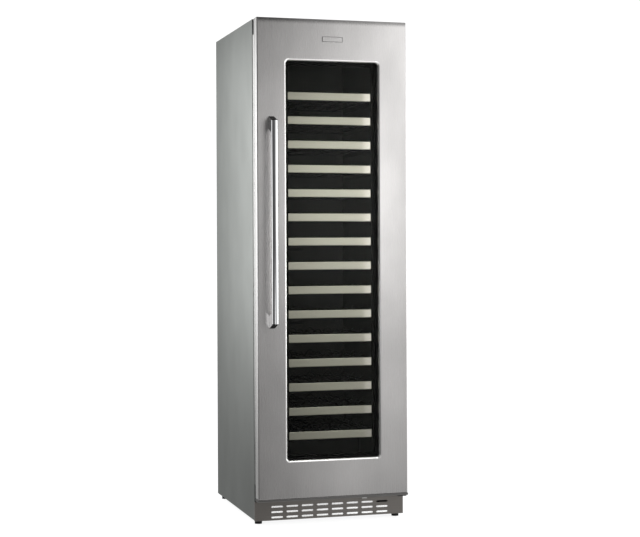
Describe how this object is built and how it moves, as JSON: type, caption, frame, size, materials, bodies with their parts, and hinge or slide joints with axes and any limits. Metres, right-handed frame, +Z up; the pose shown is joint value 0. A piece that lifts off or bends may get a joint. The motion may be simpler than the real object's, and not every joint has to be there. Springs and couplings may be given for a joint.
{
  "type": "wine cooler",
  "caption": "Tall free-standing wine cooler with a stainless framed glass door, a vertical bar handle, sliding bottle shelves and a slotted plinth.",
  "frame": {"origin": "on the floor at the centre of the whole outline", "axes": "+Z up, the door faces -Y, +X to the right of someone facing the door"},
  "size_m": [0.597, 0.786, 1.9255],
  "materials": {
    "brushed_stainless": "satin",
    "shelf_trim_stainless": "satin",
    "galvanised_steel": "matte",
    "plinth_steel": "satin",
    "chrome_plate": "polished",
    "badge_metal": "satin",
    "cap_steel": "satin",
    "clear_glass": "polished",
    "spacer_aluminium": "satin",
    "black_plastic": "satin",
    "button_plastic": "gloss",
    "lamp_plastic": "satin",
    "gasket_rubber": "matte",
    "foam_core": "matte",
    "black_steel": "satin",
    "coil_aluminium": "satin",
    "filter_white": "matte",
    "foot_plastic": "matte",
    "screw_zinc": "satin",
    "bush_nylon": "satin",
    "inlet_rubber": "matte",
    "rack_wire_black": "satin"
  },
  "bodies": {
    "cabinet": {"side_panel_left": "brushed_stainless", "side_panel_right": "brushed_stainless", "top_panel": "galvanised_steel", "back_panel": "galvanised_steel", "base_tray": "galvanised_steel", "rear_cover": "galvanised_steel", "kick_grille": "plinth_steel", "front_frame": "black_plastic", "inner_liner": "black_plastic", "air_duct_cover": "black_plastic", "control_housing": "black_plastic", "shelf_runners": "black_plastic", "fan_shroud": "black_plastic", "drip_tray": "black_plastic", "led_strip": "lamp_plastic", "insulation_foam": "foam_core", "compressor": "black_steel", "hinge_bracket_top": "black_steel", "hinge_bracket_bottom": "black_steel", "condenser": "coil_aluminium", "evaporator": "coil_aluminium", "dust_filter": "filter_white", "screws": "screw_zinc", "power_inlet": "inlet_rubber"},
    "door": {"door_skin": "brushed_stainless", "door_foam": "foam_core", "door_inner_frame": "black_plastic", "glass_panes": "clear_glass", "glass_spacer": "spacer_aluminium", "door_gasket": "gasket_rubber", "door_bottom_cap": "cap_steel", "door_top_bush": "bush_nylon", "handle_bar": "chrome_plate", "handle_brackets": "chrome_plate", "badge": "badge_metal"},
    "shelf_01": {"shelf_01": "shelf_trim_stainless"},
    "shelf_02": {"shelf_02": "shelf_trim_stainless"},
    "shelf_03": {"shelf_03": "shelf_trim_stainless"},
    "shelf_04": {"shelf_04": "shelf_trim_stainless"},
    "shelf_05": {"shelf_05": "shelf_trim_stainless"},
    "shelf_06": {"shelf_06": "shelf_trim_stainless"},
    "shelf_07": {"shelf_07": "shelf_trim_stainless"},
    "shelf_08": {"shelf_08": "shelf_trim_stainless"},
    "shelf_09": {"shelf_09": "shelf_trim_stainless"},
    "shelf_10": {"shelf_10": "shelf_trim_stainless"},
    "shelf_11": {"shelf_11": "shelf_trim_stainless"},
    "shelf_12": {"shelf_12": "shelf_trim_stainless"},
    "shelf_13": {"shelf_13": "shelf_trim_stainless"},
    "shelf_14": {"shelf_14": "shelf_trim_stainless"},
    "shelf_15": {"shelf_15": "shelf_trim_stainless"},
    "button_power": {"button_power": "button_plastic"},
    "button_light": {"button_light": "button_plastic"},
    "button_down": {"button_down": "button_plastic"},
    "button_up": {"button_up": "button_plastic"},
    "foot_front_left": {"foot_front_left": "foot_plastic"},
    "foot_front_right": {"foot_front_right": "foot_plastic"},
    "foot_rear_left": {"foot_rear_left": "foot_plastic"},
    "foot_rear_right": {"foot_rear_right": "foot_plastic"},
    "circulation_fan": {"circulation_fan": "black_plastic"},
    "condenser_fan": {"condenser_fan": "black_plastic"}
  },
  "joints": [
    {"name": "door_hinge", "type": "hinge", "parent": "cabinet", "child": "door", "pos_m": [0.2875, -0.304, 1], "axis": [0, 0, 1], "range_deg": [0, 120]},
    {"name": "shelf_01_slide", "type": "slide", "parent": "cabinet", "child": "shelf_01", "axis": [0, -1, 0], "range_m": [0, 0.2001]},
    {"name": "shelf_02_slide", "type": "slide", "parent": "cabinet", "child": "shelf_02", "axis": [0, -1, 0], "range_m": [0, 0.2001]},
    {"name": "shelf_03_slide", "type": "slide", "parent": "cabinet", "child": "shelf_03", "axis": [0, -1, 0], "range_m": [0, 0.2001]},
    {"name": "shelf_04_slide", "type": "slide", "parent": "cabinet", "child": "shelf_04", "axis": [0, -1, 0], "range_m": [0, 0.2001]},
    {"name": "shelf_05_slide", "type": "slide", "parent": "cabinet", "child": "shelf_05", "axis": [0, -1, 0], "range_m": [0, 0.2001]},
    {"name": "shelf_06_slide", "type": "slide", "parent": "cabinet", "child": "shelf_06", "axis": [0, -1, 0], "range_m": [0, 0.2001]},
    {"name": "shelf_07_slide", "type": "slide", "parent": "cabinet", "child": "shelf_07", "axis": [0, -1, 0], "range_m": [0, 0.2001]},
    {"name": "shelf_08_slide", "type": "slide", "parent": "cabinet", "child": "shelf_08", "axis": [0, -1, 0], "range_m": [0, 0.2001]},
    {"name": "shelf_09_slide", "type": "slide", "parent": "cabinet", "child": "shelf_09", "axis": [0, -1, 0], "range_m": [0, 0.2001]},
    {"name": "shelf_10_slide", "type": "slide", "parent": "cabinet", "child": "shelf_10", "axis": [0, -1, 0], "range_m": [0, 0.2001]},
    {"name": "shelf_11_slide", "type": "slide", "parent": "cabinet", "child": "shelf_11", "axis": [0, -1, 0], "range_m": [0, 0.2001]},
    {"name": "shelf_12_slide", "type": "slide", "parent": "cabinet", "child": "shelf_12", "axis": [0, -1, 0], "range_m": [0, 0.2001]},
    {"name": "shelf_13_slide", "type": "slide", "parent": "cabinet", "child": "shelf_13", "axis": [0, -1, 0], "range_m": [0, 0.2001]},
    {"name": "shelf_14_slide", "type": "slide", "parent": "cabinet", "child": "shelf_14", "axis": [0, -1, 0], "range_m": [0, 0.2001]},
    {"name": "shelf_15_slide", "type": "slide", "parent": "cabinet", "child": "shelf_15", "axis": [0, -1, 0], "range_m": [0, 0.2001]},
    {"name": "button_power_press", "type": "slide", "parent": "cabinet", "child": "button_power", "axis": [0, 1, 0], "range_m": [0, 0.001], "stiffness_N_per_m": 300, "springref_m": -0.001},
    {"name": "button_light_press", "type": "slide", "parent": "cabinet", "child": "button_light", "axis": [0, 1, 0], "range_m": [0, 0.001], "stiffness_N_per_m": 300, "springref_m": -0.001},
    {"name": "button_down_press", "type": "slide", "parent": "cabinet", "child": "button_down", "axis": [0, 1, 0], "range_m": [0, 0.001], "stiffness_N_per_m": 300, "springref_m": -0.001},
    {"name": "button_up_press", "type": "slide", "parent": "cabinet", "child": "button_up", "axis": [0, 1, 0], "range_m": [0, 0.001], "stiffness_N_per_m": 300, "springref_m": -0.001},
    {"name": "foot_front_left_screw", "type": "slide", "parent": "cabinet", "child": "foot_front_left", "axis": [0, 0, -1], "range_m": [0, 0.02]},
    {"name": "foot_front_right_screw", "type": "slide", "parent": "cabinet", "child": "foot_front_right", "axis": [0, 0, -1], "range_m": [0, 0.02]},
    {"name": "foot_rear_left_screw", "type": "slide", "parent": "cabinet", "child": "foot_rear_left", "axis": [0, 0, -1], "range_m": [0, 0.02]},
    {"name": "foot_rear_right_screw", "type": "slide", "parent": "cabinet", "child": "foot_rear_right", "axis": [0, 0, -1], "range_m": [0, 0.02]},
    {"name": "circulation_fan_spin", "type": "hinge", "parent": "cabinet", "child": "circulation_fan", "pos_m": [0, 0.319, 1.62], "axis": [0, -1, 0], "continuous": true},
    {"name": "condenser_fan_spin", "type": "hinge", "parent": "cabinet", "child": "condenser_fan", "pos_m": [-0.16, 0.268, 0.118], "axis": [0, -1, 0], "continuous": true}
  ],
  "couplings": [
    {"joint": "shelf_01_slide", "follows": "door_hinge", "m_per_rad": 0.0955},
    {"joint": "shelf_02_slide", "follows": "door_hinge", "m_per_rad": 0.0955},
    {"joint": "shelf_03_slide", "follows": "door_hinge", "m_per_rad": 0.0955},
    {"joint": "shelf_04_slide", "follows": "door_hinge", "m_per_rad": 0.0955},
    {"joint": "shelf_05_slide", "follows": "door_hinge", "m_per_rad": 0.0955},
    {"joint": "shelf_06_slide", "follows": "door_hinge", "m_per_rad": 0.0955},
    {"joint": "shelf_07_slide", "follows": "door_hinge", "m_per_rad": 0.0955},
    {"joint": "shelf_08_slide", "follows": "door_hinge", "m_per_rad": 0.0955},
    {"joint": "shelf_09_slide", "follows": "door_hinge", "m_per_rad": 0.0955},
    {"joint": "shelf_10_slide", "follows": "door_hinge", "m_per_rad": 0.0955},
    {"joint": "shelf_11_slide", "follows": "door_hinge", "m_per_rad": 0.0955},
    {"joint": "shelf_12_slide", "follows": "door_hinge", "m_per_rad": 0.0955},
    {"joint": "shelf_13_slide", "follows": "door_hinge", "m_per_rad": 0.0955},
    {"joint": "shelf_14_slide", "follows": "door_hinge", "m_per_rad": 0.0955},
    {"joint": "shelf_15_slide", "follows": "door_hinge", "m_per_rad": 0.0955}
  ]
}
